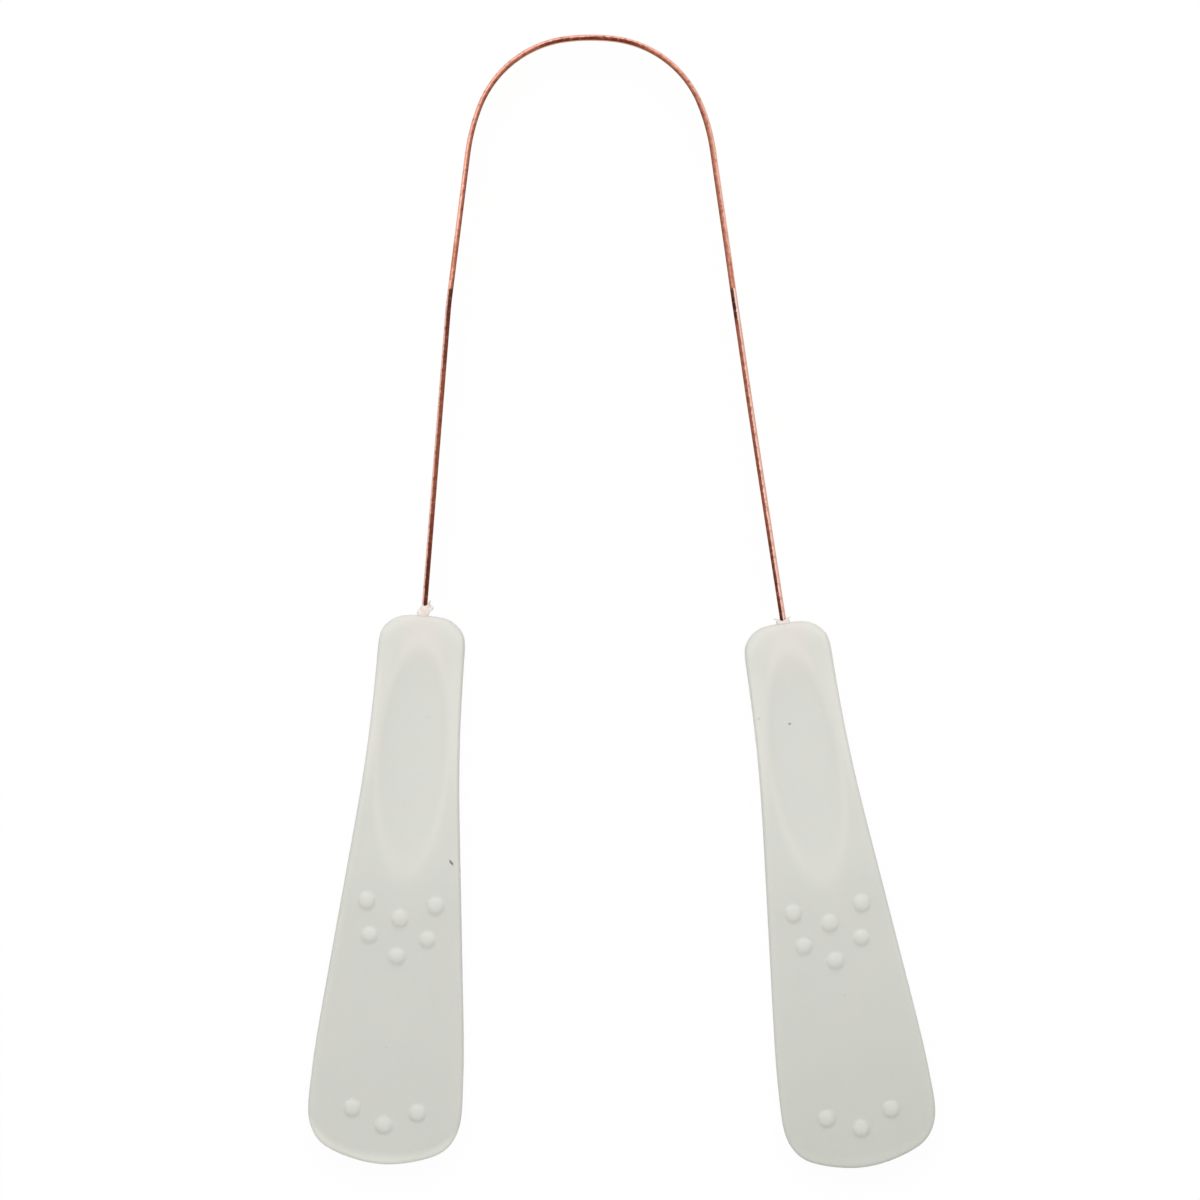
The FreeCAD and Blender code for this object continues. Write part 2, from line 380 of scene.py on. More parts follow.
def mark_front():
    """Sharpens the edge of the thumb rest and pulls out the grip dots, on the fine front."""
    bpy.ops.object.mode_set(mode="EDIT")
    pick(lambda place: in_rest(place) < REST_PRESSED and place.z > REST_EDGE_ABOVE)
    shift((0, 0, -REST_STEP))
    pick(lambda place: REST_SOFTENED[0] < in_rest(place) < REST_SOFTENED[1] and place.z > REST_EDGE_ABOVE)
    soften(REST_SOFT_ROUNDS)
    pick_faces(
        lambda middle, normal: normal.z > DOT_FACING and from_dot(middle) < DOT_RADIUS + DOT_FINE_MARGIN
    )
    bpy.ops.mesh.subdivide(number_cuts=DOT_FINE_CUTS)
    bpy.ops.mesh.select_mode(type="VERT")
    for across, drop in DOT_PLACES:
        pick(
            lambda place: math.hypot(place.x - across, place.y + drop) < DOT_PEAK and place.z > DOT_ABOVE
        )
        pull((0, 0, DOT_HEIGHT), DOT_RADIUS, "SPHERE")
    pick(lambda place: from_dot(place) < DOT_RADIUS + DOT_SOFT_MARGIN and place.z > DOT_ABOVE)
    soften(DOT_SOFT_ROUNDS)
    # Share that each point is raised by a dot, for the painted light on the dots
    mesh = bpy.context.edit_object.data
    shape = bmesh.from_edit_mesh(mesh)
    raised = shape.verts.layers.float.new("raised")
    for point in shape.verts:
        place = point.co / MM
        share = 1 - (from_dot(place) / DOT_RADIUS) ** 2
        point[raised] = max(0.0, share) if place.z > DOT_ABOVE else 0.0
    bmesh.update_edit_mesh(mesh)
    bpy.ops.object.mode_set(mode="OBJECT")
    bpy.ops.object.shade_smooth_by_angle(angle=math.radians(ALL_SOFT_ANGLE))


def make_flash(name):
    """Thin plastic squeezed out round the strip where it enters a handle."""
    outline = FLASH_OUTLINES[name]
    height, share = FLASH_LAYERS[0]
    bpy.ops.object.select_all(action="DESELECT")
    bpy.ops.mesh.primitive_circle_add(
        vertices=len(outline), radius=MM, fill_type="NGON", location=(0, 0, height * MM)
    )
    flash = fresh_piece(name + "_flash")
    shape = bmesh.from_edit_mesh(flash.data)
    shape.verts.ensure_lookup_table()
    for point, place in zip(shape.verts, outline):
        point.co.x = place[0] * share * MM
        point.co.y = place[1] * share * MM
    bmesh.update_edit_mesh(flash.data)
    bpy.ops.mesh.select_all(action="SELECT")
    for next_height, next_share in FLASH_LAYERS[1:]:
        rise = (next_height - height) * MM
        bpy.ops.mesh.extrude_region_move(TRANSFORM_OT_translate={"value": (0, 0, rise)})
        stretch((next_share / share, next_share / share, 1), (*FLASH_MIDDLE, next_height))
        height, share = next_height, next_share
    finish_shape(flash, FLASH_ROUNDS, ALL_SOFT_ANGLE)
    return flash


def take(*pieces):
    """Selects pieces alone, with the first of them in hand."""
    bpy.ops.object.select_all(action="DESELECT")
    for piece in pieces:
        piece.select_set(True)
    bpy.context.view_layer.objects.active = pieces[0]


def copy_piece(piece, name):
    """Copy of a piece with its own mesh."""
    take(piece)
    bpy.ops.object.duplicate(linked=False)
    twin = bpy.context.object
    twin.name = name
    twin.data.name = name
    return twin


def set_piece(piece, place, lean):
    """Turns a piece about the origin, moves it to its place, and leaves that in its mesh."""
    take(piece)
    piece.rotation_euler = (0, 0, math.radians(lean))
    piece.location = Vector(place) * MM
    bpy.ops.object.transform_apply(location=True, rotation=True, scale=True)


class Value:
    """An output of a material's node, for sums written as Python sums."""

    def __init__(self, finish, socket):
        self.finish = finish
        self.socket = socket

    def worked(self, operation, first, second):
        return self.finish.node("ShaderNodeMath", {"operation": operation}, {0: first, 1: second})

    def __add__(self, other):
        return self.worked("ADD", self, other)

    def __radd__(self, other):
        return self.worked("ADD", other, self)

    def __sub__(self, other):
        return self.worked("SUBTRACT", self, other)

    def __rsub__(self, other):
        return self.worked("SUBTRACT", other, self)

    def __mul__(self, other):
        return self.worked("MULTIPLY", self, other)

    def __rmul__(self, other):
        return self.worked("MULTIPLY", other, self)

    def __abs__(self):
        return self.worked("ABSOLUTE", self, 0)


def opaque(colour):
    """A written colour with its alpha, or a value as it is."""
    return colour if isinstance(colour, Value) else (*colour, 1)


class Finish:
    """A material, world or floor under construction."""

    def __init__(self, owner):
        owner.use_nodes = True
        self.owner = owner
        self.tree = owner.node_tree
        self.tree.nodes.clear()

    def node(self, kind, settings=None, sockets=None, output=0):
        """Adds a node, its settings first and then its sockets' values or links, and gives one of its outputs."""
        node = self.tree.nodes.new(kind)
        for name, value in (settings or {}).items():
            setattr(node, name, value)
        for name, value in (sockets or {}).items():
            if isinstance(value, Value):
                self.tree.links.new(value.socket, node.inputs[name])
            else:
                node.inputs[name].default_value = value
        return Value(self, node.outputs[output])

    def row_place(self):
        """Place in the part's own frame, in metres."""
        return self.node("ShaderNodeTexCoord", output=3)

    def marked(self, name):
        """Share that the points of a mesh were marked with."""
        return self.node("ShaderNodeAttribute", {"attribute_name": name}, output=2)

    def ease(self, value, span):
        """Goes softly from 0 at the start of a span to 1 at its end, either way round."""
        return self.node(
            "ShaderNodeMapRange",
            {"interpolation_type": "SMOOTHSTEP"},
            {"Value": value, "From Min": span[0], "From Max": span[1]},
        )

    def noise(self, place, scale, detail=2.0):
        """Cloudy pattern between 0 and 1, with so many clouds to the millimetre."""
        return self.node(
            "ShaderNodeTexNoise", None, {"Vector": place, "Scale": scale, "Detail": detail}
        )

    def grained(self, place, factors, detail):
        """Cloudy pattern that runs one way, with so many clouds to the millimetre along each axis."""
        return self.noise(self.scaled(place, factors), 1.0, detail)

    def scaled(self, place, factors):
        """Place with its axes stretched."""
        return self.node("ShaderNodeVectorMath", {"operation": "MULTIPLY"}, {0: place, 1: factors})

    def mapped(self, place, middle, halves, turn=0.0):
        """Place seen from a middle, along turned axes and in halves of a size."""
        return self.node(
            "ShaderNodeMapping",
            {"vector_type": "TEXTURE"},
            {"Vector": place, "Location": middle, "Rotation": (0, 0, math.radians(turn)), "Scale": halves},
        )

    def reach(self, place):
        """How far a place is from the middle."""
        return self.node("ShaderNodeVectorMath", {"operation": "LENGTH"}, {0: place}, output=1)

    def axes(self, place):
        """The three parts of a place."""
        parts = self.node("ShaderNodeSeparateXYZ", None, {0: place})
        return [Value(self, socket) for socket in parts.socket.node.outputs]

    def tint(self, share, first, second):
        """Mixes two colours."""
        return self.node(
            "ShaderNodeMix",
            {"data_type": "RGBA"},
            {0: share, 6: opaque(first), 7: opaque(second)},
            output=2,
        )

    def lay(self, colour, mask, tone):
        """Lays a tone, which is a colour and how far it covers, over a colour where a mask is."""
        *shade, cover = tone
        return self.tint(mask * cover, colour, shade)

    def bump(self, strength, relief):
        """Normals bent by a relief in millimetres."""
        return self.node("ShaderNodeBump", None, {"Strength": strength, "Distance": MM, "Height": relief})

    def close(self, shader, kind="ShaderNodeOutputMaterial"):
        """Puts a shader on the surface."""
        end = self.tree.nodes.new(kind)
        self.tree.links.new(shader.socket, end.inputs["Surface"])
        return self.owner


# Middle of a cloudy pattern
CLOUD_MIDDLE = 0.5


def own_place(finish, mouth, lean):
    """Place in a handle's own frame in millimetres: across, along from the mouth, and up from the back."""
    return finish.mapped(finish.row_place(), (mouth[0] * MM, mouth[1] * MM, 0), (MM, MM, MM), lean)


# Plastic: its two tones, and the tones laid over them as red, green, blue and how far they cover
PLASTIC_TONES = ((0.718, 0.728, 0.678), (0.758, 0.754, 0.702))
FLOW_TONE = (0.69, 0.70, 0.645, 0.22)
# Painted shade: a little yellower and darker towards the tail
TAIL_SHADE_TONE = (0.62, 0.635, 0.56, 1)
# Painted light: the thumb rest's rim made paler
RIM_LIGHT_TONE = (0.81, 0.80, 0.74, 0.8)
# Painted light that lifts the thumb rest's hollow, most towards the mouth
HOLLOW_LIGHT_TONE = (0.80, 0.805, 0.755, 0.35)
MOUTH_TONE = (0.80, 0.70, 0.65, 0.35)
# Painted light: the tail's rounded end made paler against its shade
TAIL_EDGE_LIGHT_TONE = (0.97, 0.97, 0.88, 1)
# Painted light: the dots made paler
DOT_LIGHT_TONE = (0.80, 0.80, 0.745, 0.6)
SPECK_TONE = (0.06, 0.06, 0.07, 1)

# Spans of the painted light on the thumb rest's rim and in its hollow, in shares of its oval and in drops from the
# mouth
RIM_OVAL = (0.82, 1.12)
RIM_OUTER_OVAL = (1.28, 1.06)
RIM_SIDE_DROPS = ((27.0, 15.0), (2.0, 9.0))
RIM_FADE_DROP = (16.0, 31.0)
RIM_FADE = 0.45
HOLLOW_OVAL = (1.04, 0.78)
HOLLOW_DROP = (34.0, 8.0)
ANY_HEIGHT = 1000.0

# Warm glow of the copper through the mouth, across and down
MOUTH_ACROSS = (4.5, 0.4)
MOUTH_DROP = (9.0, 0.3)

# Tail: how far each handle's plastic yellows a little and darkens towards it, the darkening being painted shade, how
# far its end is made paler as painted light, and where
TAIL_SHADE_COVERS = {"left": 0.1, "right": 0.4}
TAIL_DROP = (40.0, 68.0)
TAIL_EDGE_LIGHT_COVERS = {"left": 0.8, "right": 0.2}
TAIL_CURVE = (0.018, 0.00034)
TAIL_EDGE_REACH = (66.9, 68.7)
TAIL_EDGE_HEIGHT = (3.6, 4.4)

# Specks in the plastic: across, drop, half length, half width, turn, depth of tone
SPECKS = {
    "left": (
        (5.83, 30.41, 0.42, 0.16, -50, 0.75),
        (-0.4, 54.0, 0.22, 0.1, 20, 0.18),
        (1.6, 12.6, 0.3, 0.22, 0, 0.05),
    ),
    "right": (
        (-1.15, 12.54, 0.2, 0.18, 0, 0.55),
        (-4.86, 11.34, 0.25, 0.14, 30, 0.2),
        (0.5, 47.0, 0.2, 0.12, 60, 0.12),
    ),
}
SPECK_HALF_HEIGHT = 2.0
SPECK_EDGE = (1.15, 0.7)
SPECK_RAGGEDNESS = 1.2

# Patterns of the plastic: clouds to the millimetre, and the mould's seam round the sides
PLASTIC_CLOUDS = 0.13
PLASTIC_FLOW = (0.7, 0.06, 0.4)
PLASTIC_GRAIN = 5.0
SPECK_GRAIN = 4.0
SEAM_HEIGHT = 4.0
SEAM_HALF = (0.12, 0.04)
PLASTIC_IOR = 1.46


def handle_plastic(name, mouth, lean):
    """Off-white satin plastic with clouds, flow marks, grain and specks, with painted warm light on the thumb rest's
    rim, in its hollow, on the dots and at the tail's end, and painted shade towards the tail.
    """
    finish = Finish(bpy.data.materials.new(name + "_handle_plastic"))
    ease = finish.ease
    place = own_place(finish, mouth, lean)
    across, along, height = finish.axes(place)
    drop = 0 - along
    clouds = finish.noise(place, PLASTIC_CLOUDS)
    flow = finish.grained(place, PLASTIC_FLOW, 3.0)
    grain = finish.noise(place, PLASTIC_GRAIN, 3.0)
    colour = finish.tint(clouds, *PLASTIC_TONES)
    colour = finish.lay(colour, flow, FLOW_TONE)
    # Painted shade towards the tail
    colour = finish.lay(colour, ease(drop, TAIL_DROP) * TAIL_SHADE_COVERS[name], TAIL_SHADE_TONE)
    # Painted light on the rim of the thumb rest and in its hollow
    oval = finish.reach(finish.mapped(place, (0, -REST_DROP, 0), (*REST_HALF, ANY_HEIGHT)))
    sides = ease(drop, RIM_SIDE_DROPS[0]) * ease(drop, RIM_SIDE_DROPS[1])
    outer = finish.node("ShaderNodeMath", {"operation": "MAXIMUM"}, {0: ease(oval, RIM_OUTER_OVAL), 1: sides})
    lit_rim = ease(oval, RIM_OVAL) * outer * (1 - ease(drop, RIM_FADE_DROP) * RIM_FADE)
    colour = finish.lay(colour, lit_rim, RIM_LIGHT_TONE)
    # Painted light in the hollow
    colour = finish.lay(colour, ease(oval, HOLLOW_OVAL) * ease(drop, HOLLOW_DROP), HOLLOW_LIGHT_TONE)
    # Mouth, painted light on the end of the tail and on the dots, and specks
    colour = finish.lay(colour, ease(abs(across), MOUTH_ACROSS) * ease(drop, MOUTH_DROP), MOUTH_TONE)
    # Painted light on the tail's rounded end
    square = across * across
    tail_reach = drop + square * TAIL_CURVE[0] + square * square * TAIL_CURVE[1]
    lit_tail_edge = ease(tail_reach, TAIL_EDGE_REACH) * ease(height, TAIL_EDGE_HEIGHT)
    colour = finish.lay(colour, lit_tail_edge * TAIL_EDGE_LIGHT_COVERS[name], TAIL_EDGE_LIGHT_TONE)
    # Painted light on the dots
    colour = finish.lay(colour, finish.marked("raised"), DOT_LIGHT_TONE)
    for speck_across, speck_drop, half_length, half_width, turn, depth in SPECKS[name]:
        middle = (speck_across, -speck_drop, NECK_HEIGHT)
        spot = finish.reach(finish.mapped(place, middle, (half_length, half_width, SPECK_HALF_HEIGHT), turn))
        spot = spot + (finish.noise(place, SPECK_GRAIN) - CLOUD_MIDDLE) * SPECK_RAGGEDNESS
        colour = finish.lay(colour, ease(spot, SPECK_EDGE) * depth, SPECK_TONE)
    seam = ease(abs(height - SEAM_HEIGHT), SEAM_HALF)
    shader = finish.node(
        "ShaderNodeBsdfPrincipled",
        {"subsurface_method": "RANDOM_WALK"},
        {
            "Base Color": colour,
            "Roughness": 0.40 + grain * 0.10 + clouds * 0.06,
            "Normal": finish.bump(0.55, grain * 0.012 + flow * 0.02 + seam * 0.06),
            "IOR": PLASTIC_IOR,
            "Subsurface Weight": 0.35,
            "Subsurface Radius": (1.0, 0.9, 0.7),
            "Subsurface Scale": 1.6 * MM,
        },
    )
    return finish.close(shader)


# Flash: its two tones, the pale grains laid over them, and its patterns in clouds to the millimetre
FLASH_TONES = ((0.96, 0.89, 0.85), (0.84, 0.70, 0.63))
FLASH_GRAIN_TONE = (0.95, 0.92, 0.88, 0.5)
FLASH_GRAIN_SPAN = (0.62, 0.72)
FLASH_CRUMPLE = 1.4
FLASH_GRAIN = 6.0


def flash_plastic(name, mouth, lean):
    """The same plastic squeezed thin, so that the copper shines through it."""
    finish = Finish(bpy.data.materials.new(name + "_flash_plastic"))
    place = own_place(finish, mouth, lean)
    crumple = finish.noise(place, FLASH_CRUMPLE, 3.0)
    grain = finish.noise(place, FLASH_GRAIN)
    colour = finish.tint(crumple, *FLASH_TONES)
    colour = finish.lay(colour, finish.ease(grain, FLASH_GRAIN_SPAN), FLASH_GRAIN_TONE)
    shader = finish.node(
        "ShaderNodeBsdfPrincipled",
        None,
        {
            "Base Color": colour,
            "Roughness": 0.22 + grain * 0.16,
            "Normal": finish.bump(0.8, crumple * 0.3 + grain * 0.03),
            "IOR": PLASTIC_IOR,
            "Subsurface Weight": 0.4,
            "Subsurface Radius": (1.0, 0.7, 0.55),
            "Subsurface Scale": 0.5 * MM,
        },
    )
    return finish.close(shader)


# Copper: pairs of tones that its blotches run between
POLISHED_TONES = ((0.86, 0.52, 0.42), (0.78, 0.41, 0.32))
# Painted shade: the dark tones of the inner half of the bow's narrow edge
INNER_SHADE_TONES = ((0.30, 0.095, 0.055), (0.44, 0.17, 0.11))
# Brown of the limbs' inner edge, whose darkness is painted shade
BROWN_TONES = ((0.185, 0.046, 0.023), (0.37, 0.11, 0.062))
# Copper of the outer half of the limbs' narrow edge, beside the painted shade on the inner half
OUTER_COPPER_TONES = ((0.87, 0.59, 0.51), (0.79, 0.47, 0.39))
FACE_TONES = ((0.86, 0.46, 0.34), (0.74, 0.34, 0.24))

# Tones laid over those, as red, green, blue and how far they cover
RIGHT_PINK = (0.90, 0.62, 0.54, 0.45)
# Darker on the outer half of the edge towards the crown's top
CREST_DARKENING = (0.40, 0.16, 0.135, 0.7)
# Painted shade, darkest at the inside of the crown's top and along the innermost line
CREST_INNER_SHADE = (0.13, 0.022, 0.008, 0.85)
INNER_SHADE_LINE = (0.12, 0.014, 0.004, 1)
BAND_BROWN = (0.40, 0.14, 0.07, 0.8)
UPPER_RIGHT_BROWN = (0.42, 0.14, 0.085, 0.5)
# Painted shade just below the break
BREAK_SHADE = (0.07, 0.014, 0.008, 0.8)
# Painted shade in the inner half and a painted glint on the outer half, on the right limb just below the break
GLINT_ZONE_SHADE = (0.03, 0.003, 0.002, 0.8)
GLINT_ZONE_HIGHLIGHT = (0.95, 0.87, 0.83, 0.45)
CHAR = (0.05, 0.004, 0.002, 1)
MOTTLE_DARK = (0.07, 0.01, 0.005, 0.5)
MOTTLE_PALE = (0.86, 0.47, 0.36, 0.16)
FACE_STREAK = (0.62, 0.27, 0.18, 0.5)
# Painted shade on the inner face, and darker on the limbs
FACE_DARKENING = (0.42, 0.17, 0.10, 1)
FACE_CHAR = (0.12, 0.035, 0.018, 0.6)

# Painted orange highlight above the break: its tone on the left and on the right, and how far it covers
BREAK_HIGHLIGHT_TONES = ((0.55, 0.22, 0.15), (0.44, 0.16, 0.10))
BREAK_HIGHLIGHT_COVER = 0.85

# Patterns of the copper, in clouds to the millimetre
COPPER_BLOTCHES = 0.35
COPPER_FINE = 3.0
COPPER_MOTTLE = 1.7
COPPER_SCRATCHES = (9.0, 0.5, 9.0)
COPPER_STREAKS = (0.12, 0.12, 2.2)

# Break, where the polish ends: how far above the bend it is on the left, how much less on the right, its raggedness
BREAK_RISE = 1.35
BREAK_RIGHT_FALL = 0.15
BREAK_RAGGEDNESS = 0.3
EDGE_RAGGEDNESS = 0.5

# Spans across the tool, and above the break in millimetres, less than 0 being below it
RIGHT_ACROSS = (-4.0, -2.0)
BELOW_BREAK = (0.12, -0.12)
BAND_RISES = ((6.4, 5.2), (2.2, 3.0))
BREAK_HIGHLIGHT_RISE = (3.3, 2.3)
BREAK_HIGHLIGHT_RIGHT_RISE = 1.1
BREAK_HIGHLIGHT_LEFT_FOOT = (0.8, 1.4)
BREAK_SHADE_RISE = (-14.0, 0.0)
BREAK_SHADE_RIGHT_HASTE = 1.8
GLINT_ZONE_RISE = (-5.0, -3.4)
GLINT_ZONE_SHADE_RISE = (-0.9, -1.6)

# Spans along the tool
CREST_ALONG = (52.0, 67.0)
CREST_TOP_ALONG = (68.8, 69.8)
UPPER_ALONG = (18.0, 24.0)
CHAR_LEFT_ALONG = (15.0, 2.0)
CHAR_LEFT_COVER = 0.8
CHAR_LEFT_INNER_LOSS = 0.4
CHAR_RIGHT_ALONG = ((9.0, 6.0), (0.2, -2.0))
CHAR_RIGHT_COVERS = (0.5, 0.44)

# Spans across the strip, from -1 on the outside to 1 on the inside, and the moves of the edge between the outer
# copper and the painted shade on the inner half
CREST_INWARD = (-1.15, -0.1)
INNER_SHADE_LINE_INWARD = (0.7, 0.95)
INNER_SHADE_INWARD = (-0.42, -0.08)
INNER_SHADE_RIGHT_MOVE = 0.2
BREAK_HIGHLIGHT_INWARD = (0.8, 0.3)
CHAR_INWARD = (0.3, 0.8)
OUTER_SHARE_INWARD = (-0.25, -0.65)
OUTER_SHARE_MOVE = 0.1
OUTER_SHARE_RIGHT_MOVE = -0.36
OUTER_SHARE_UPPER_RIGHT_MOVE = 0.1
OUTER_SHARE_GLINT_MOVE = 0.02
BRIGHT_INWARD = (0.35, -0.2)
INSIDE_INWARD = (-0.5, 0.5)

# Spans of the patterns, and of the broad faces from the middle of the strip's width
MOTTLE_DARK_SPAN = (0.5, 0.75)
MOTTLE_PALE_SPAN = (0.5, 0.25)
STREAK_SPAN = (0.45, 0.75)
FACE_HALF_WIDTH = (2.36, 2.16)
FACE_INNER_SHADE = 0.55
FACE_LIMB_DARKENING = 0.3
FACE_BRIGHT = 0.9


class StripMarks:
    """Where a place is on the strip, and the patterns of the copper there."""

    def __init__(self, finish):
        ease = finish.ease
        self.place = finish.scaled(finish.row_place(), (1 / MM, 1 / MM, 1 / MM))
        across, self.along, self.height = finish.axes(self.place)
        self.inward = finish.marked("inward")
        self.blotches = finish.noise(self.place, COPPER_BLOTCHES, 4.0)
        self.fine = finish.noise(self.place, COPPER_FINE, 3.0)
        self.right = ease(across, RIGHT_ACROSS)
        self.left = 1 - self.right
        self.rise = self.along - (CROWN[1] - BEND_DROP + BREAK_RISE) + self.right * BREAK_RIGHT_FALL
        self.limb = ease(self.rise + (self.fine - CLOUD_MIDDLE) * BREAK_RAGGEDNESS, BELOW_BREAK)
        self.ragged = self.inward + (self.fine - CLOUD_MIDDLE) * EDGE_RAGGEDNESS
        # Right limb just below the break, where a painted glint and painted shade lie
        self.glint_zone = self.right * ease(self.rise, GLINT_ZONE_RISE)
        self.upper_right = self.right * ease(self.along, UPPER_ALONG)
        charred_left = ease(self.along, CHAR_LEFT_ALONG) * (
            CHAR_LEFT_COVER - ease(self.ragged, CHAR_INWARD) * CHAR_LEFT_INNER_LOSS
        )
        charred_right = (
            ease(self.along, CHAR_RIGHT_ALONG[0]) * CHAR_RIGHT_COVERS[0]
            + ease(self.along, CHAR_RIGHT_ALONG[1]) * CHAR_RIGHT_COVERS[1]
        )
        self.charred = self.left * charred_left + self.right * charred_right


def bow_edge(finish, marks):
    """Narrow edge of the bow: polished pink outside, darkened by painted shade on its inner half, with a painted
    orange highlight above the break.
    """
    ease = finish.ease
    polished = finish.tint(marks.blotches, *POLISHED_TONES)
    polished = finish.lay(polished, marks.right, RIGHT_PINK)
    # Darker on the outer half towards the crown's top
    polished = finish.lay(
        polished, ease(marks.along, CREST_ALONG) * ease(marks.ragged, CREST_INWARD), CREST_DARKENING
    )
    # Painted shade on the inner half of the bow's narrow edge, darkest along the inside and at the crown's top
    inner_shade = finish.tint(marks.blotches, *INNER_SHADE_TONES)
    inner_shade = finish.lay(inner_shade, ease(marks.ragged, INNER_SHADE_LINE_INWARD), INNER_SHADE_LINE)
    inner_shade = finish.lay(inner_shade, ease(marks.along, CREST_TOP_ALONG), CREST_INNER_SHADE)
    colour = finish.tint(ease(marks.ragged + marks.right * INNER_SHADE_RIGHT_MOVE, INNER_SHADE_INWARD), polished, inner_shade)
    band = ease(marks.rise, BAND_RISES[0]) * ease(marks.rise, BAND_RISES[1]) * marks.left
    colour = finish.lay(colour, band, BAND_BROWN)
    # Painted orange highlight just above the break, over the inner part of the edge
    break_highlight = ease(marks.rise - marks.right * BREAK_HIGHLIGHT_RIGHT_RISE, BREAK_HIGHLIGHT_RISE) * (1 - marks.limb)
    break_highlight = break_highlight * (marks.right + marks.left * ease(marks.rise, BREAK_HIGHLIGHT_LEFT_FOOT))
    break_highlight_colour = finish.tint(marks.right, *BREAK_HIGHLIGHT_TONES)
    return finish.tint(break_highlight * ease(marks.ragged, BREAK_HIGHLIGHT_INWARD) * BREAK_HIGHLIGHT_COVER, colour, break_highlight_colour)


def dark_limb_edge(finish, marks):
    """Inner half of the narrow edge of the limbs: brown and charred, its darkness painted shade, darkest as painted
    shade just below the break.
    """
    ease = finish.ease
    colour = finish.tint(marks.blotches, *BROWN_TONES)
    colour = finish.lay(colour, marks.upper_right, UPPER_RIGHT_BROWN)
    hastened = marks.rise * (1 + marks.right * BREAK_SHADE_RIGHT_HASTE)
    # Painted shade just below the break
    colour = finish.lay(colour, ease(hastened, BREAK_SHADE_RISE), BREAK_SHADE)
    # Painted shade in the inner half of the patch below the right break
    colour = finish.lay(colour, marks.glint_zone * ease(marks.rise, GLINT_ZONE_SHADE_RISE), GLINT_ZONE_SHADE)
    return finish.lay(colour, marks.charred, CHAR)


def broad_face(finish, marks):
    """Broad faces: rolled copper, darker on the inner face as painted shade, and darker on the limbs."""
    inside = finish.ease(marks.inward, INSIDE_INWARD)
    streaks = finish.grained(marks.place, COPPER_STREAKS, 4.0)
    colour = finish.tint(marks.blotches, *FACE_TONES)
    colour = finish.lay(colour, finish.ease(streaks, STREAK_SPAN), FACE_STREAK)
    # Painted shade on the inner face, and darker on the limbs
    colour = finish.lay(colour, inside * FACE_INNER_SHADE + marks.limb * FACE_LIMB_DARKENING, FACE_DARKENING)
    return finish.lay(colour, marks.charred * inside, FACE_CHAR)


def strip_copper():
    """Copper, polished pink on the bow and brown on the limbs, with painted shade on the inside of its edge and face,
    a painted highlight above the break and a painted glint below it.
    """
    finish = Finish(bpy.data.materials.new("strip_copper"))
    ease = finish.ease
    marks = StripMarks(finish)
    outer_copper = finish.tint(marks.blotches, *OUTER_COPPER_TONES)
    # Painted glint on the right limb just below the break
    outer_copper = finish.lay(outer_copper, marks.glint_zone, GLINT_ZONE_HIGHLIGHT)
    outer_share = ease(
        marks.ragged
        + OUTER_SHARE_MOVE
        + marks.right * OUTER_SHARE_RIGHT_MOVE
        + marks.upper_right * OUTER_SHARE_UPPER_RIGHT_MOVE
        + marks.glint_zone * OUTER_SHARE_GLINT_MOVE,
        OUTER_SHARE_INWARD,
    )
    # Outer copper on the limbs' outer half, painted shade on the inner half
    limb_edge = finish.tint(outer_share, dark_limb_edge(finish, marks), outer_copper)
    edge = finish.tint(marks.limb, bow_edge(finish, marks), limb_edge)
    mottle = finish.noise(marks.place, COPPER_MOTTLE)
    edge = finish.lay(edge, ease(mottle, MOTTLE_DARK_SPAN), MOTTLE_DARK)
    edge = finish.lay(edge, ease(mottle, MOTTLE_PALE_SPAN), MOTTLE_PALE)
    edge_bright = (1 - marks.limb) * ease(marks.ragged, BRIGHT_INWARD) + marks.limb * outer_share
    face = ease(abs(marks.height - STRIP_HEIGHT), FACE_HALF_WIDTH)
    bright = edge_bright + face * (FACE_BRIGHT - edge_bright)
    scratches = finish.grained(marks.place, COPPER_SCRATCHES, 2.0)
    shader = finish.node(
        "ShaderNodeBsdfPrincipled",
        None,
        {
            "Base Color": finish.tint(face, edge, broad_face(finish, marks)),
            "Metallic": 0.15 + bright * 0.85,
            "Roughness": 0.50 - bright * 0.24 + scratches * 0.12 + marks.blotches * 0.06,
            "Normal": finish.bump(0.35, scratches * 0.02 + marks.fine * 0.01),
            "Specular IOR Level": 0.08,
            "Specular Tint": (1.0, 0.72, 0.60, 1),
        },
    )
    return finish.close(shader)


# Table and surroundings: what they give as light, and what is seen of them
WHITE = (1, 1, 1, 1)
TABLE_BOUNCE = (0.8, 0.8, 0.8, 1)
TABLE_SHADE = (0.055, 0.055, 0.055, 1)
TABLE_WHITE = 0.955
TABLE_SIZE = 6
TABLE_DROP = 0.0002
WORLD_LIGHT = 0.44

# Camera straight above: its place, its turn, its film, and the width that it sees at the strip's height. It is so far
# off because hardly any of the strip's inner face shows at the crown.
CAMERA_PLACE = (-0.00232, 0.00032, 2.704)
CAMERA_TURN = -0.351
CAMERA_FAR = 10
FILM_WIDTH = 36
SEEN_DISTANCE = 2.700
SEEN_WIDTH = 0.14959

# Soft lamp from the crown's side
LAMP_PLACE = (-0.03, 0.26, 0.40)
LAMP_AIM = (0, -0.03, 0)
LAMP_POWER = 2.45
LAMP_SIZE = 0.8


def seen_directly(finish):
    """1 for the camera, for reflections and for what is seen through plastic, and 0 for other light."""
    rays = finish.node("ShaderNodeLightPath").socket.node.outputs
    seen = Value(finish, rays["Is Camera Ray"]) + Value(finish, rays["Is Glossy Ray"])
    seen = seen + Value(finish, rays["Is Transmission Ray"])
    return finish.node("ShaderNodeMath", {"operation": "MINIMUM"}, {0: seen, 1: 1.0})


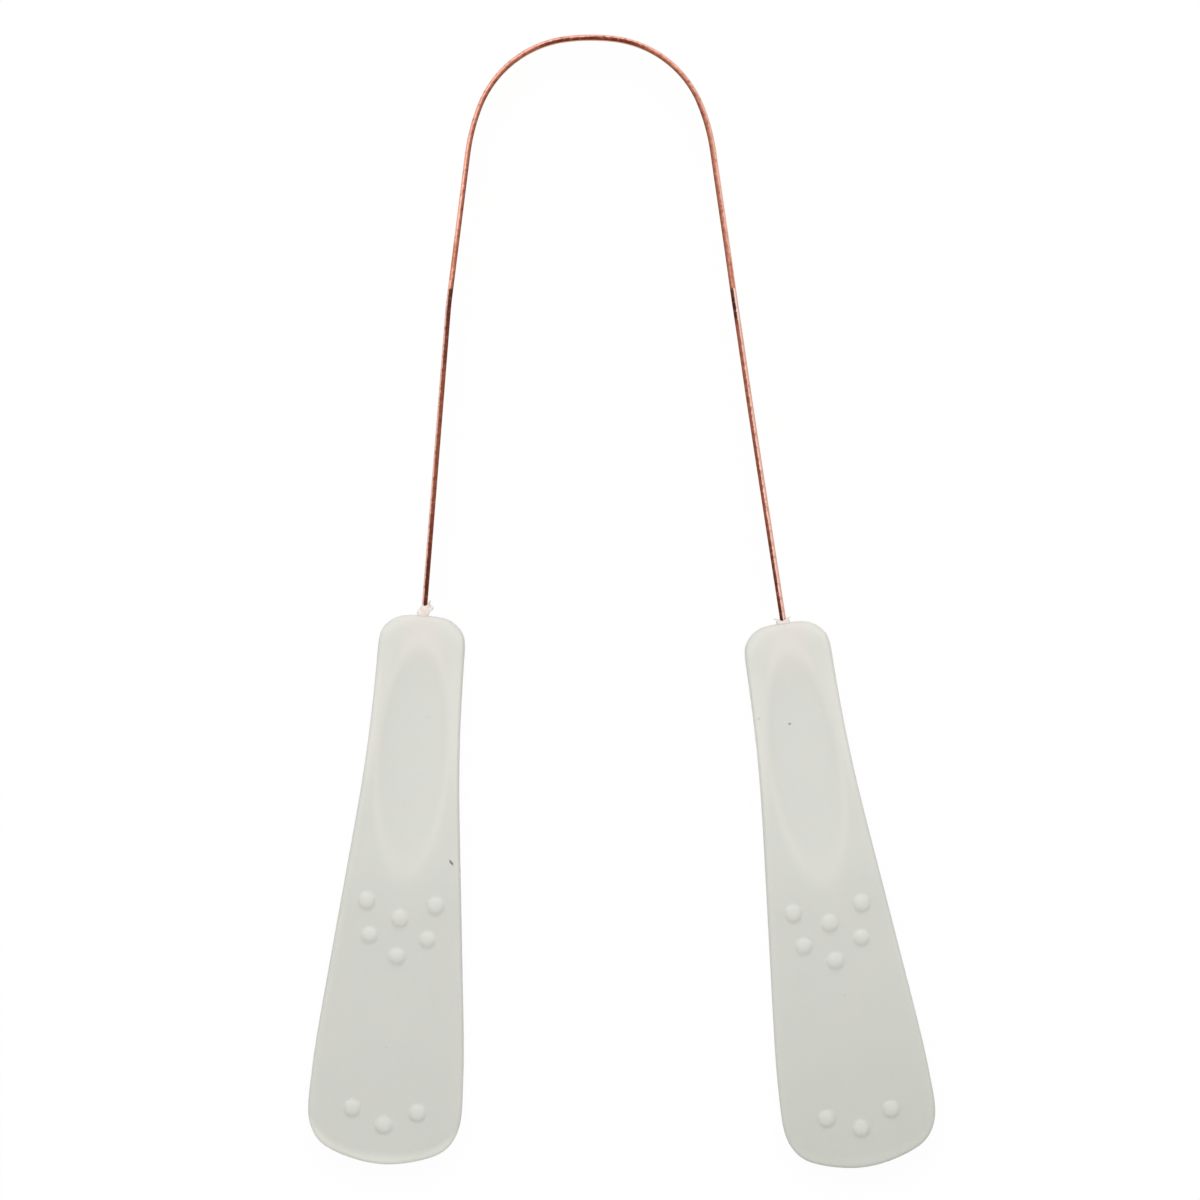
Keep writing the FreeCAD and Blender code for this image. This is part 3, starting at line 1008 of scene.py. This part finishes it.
def white_floor():
    """White table that keeps a faint shadow."""
    finish = Finish(bpy.data.materials.new("white_floor"))
    bounce = finish.node("ShaderNodeBsdfDiffuse", None, {"Color": TABLE_BOUNCE})
    shade = finish.node("ShaderNodeBsdfDiffuse", None, {"Color": TABLE_SHADE})
    light = finish.node("ShaderNodeEmission", None, {"Color": WHITE, "Strength": TABLE_WHITE})
    shown = finish.node("ShaderNodeAddShader", None, {0: shade, 1: light})
    return finish.close(
        finish.node("ShaderNodeMixShader", None, {0: seen_directly(finish), 1: bounce, 2: shown})
    )


# The pieces, each in its place
strips = {}
for name, side, limb_turn, mouth in SIDES:
    strips[name] = make_strip(name, side, limb_turn, mouth)

first_handle = make_handle()
handles = {}
for name, side, limb_turn, mouth in SIDES:
    handle = copy_piece(first_handle, name + "_moulding")
    handles[name] = (handle, make_flash(name))
    for piece in handles[name]:
        set_piece(piece, (*mouth, 0), handle_lean(side, limb_turn))
bpy.data.objects.remove(first_handle)

# Their finishes, the solids that they stand for and how they move
copper = strip_copper()
for name, side, limb_turn, mouth in SIDES:
    lean = handle_lean(side, limb_turn)
    handle, flash = handles[name]
    for piece, material in (
        (strips[name], copper),
        (handle, handle_plastic(name, mouth, lean)),
        (flash, flash_plastic(name, mouth, lean)),
    ):
        piece.data.materials.clear()
        piece.data.materials.append(material)
    take(handle, flash)
    bpy.ops.object.join()
    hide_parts("scraper_arch", name + "_limb")
    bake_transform(strips[name])
    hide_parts(name + "_handle")
    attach(handle, name + "_side")

# Camera
camera_data = bpy.data.cameras.new("camera")
camera = bpy.data.objects.new("camera", camera_data)
bpy.context.scene.collection.objects.link(camera)
camera.location = CAMERA_PLACE
camera.rotation_euler = (0, 0, math.radians(CAMERA_TURN))
camera_data.lens = FILM_WIDTH * SEEN_DISTANCE / SEEN_WIDTH
camera_data.clip_end = CAMERA_FAR
bpy.context.scene.camera = camera

# White table, pale surroundings and the lamp
bpy.ops.object.select_all(action="DESELECT")
bpy.ops.mesh.primitive_plane_add(size=TABLE_SIZE, location=(0, 0, -TABLE_DROP))
table = bpy.context.object
table.name = "table"
table.data.materials.append(white_floor())

world = bpy.data.worlds.new("studio")
bpy.context.scene.world = world
finish = Finish(world)
strength = WORLD_LIGHT + seen_directly(finish) * (1 - WORLD_LIGHT)
finish.close(
    finish.node("ShaderNodeBackground", None, {"Color": WHITE, "Strength": strength}),
    kind="ShaderNodeOutputWorld",
)
lamp_data = bpy.data.lights.new("key", "AREA")
lamp_data.energy = LAMP_POWER
lamp_data.size = LAMP_SIZE
lamp = bpy.data.objects.new("key", lamp_data)
lamp.location = LAMP_PLACE
lamp.rotation_euler = (Vector(LAMP_AIM) - lamp.location).to_track_quat("-Z", "Y").to_euler()
bpy.context.scene.collection.objects.link(lamp)
bpy.context.scene.view_settings.view_transform = "Standard"
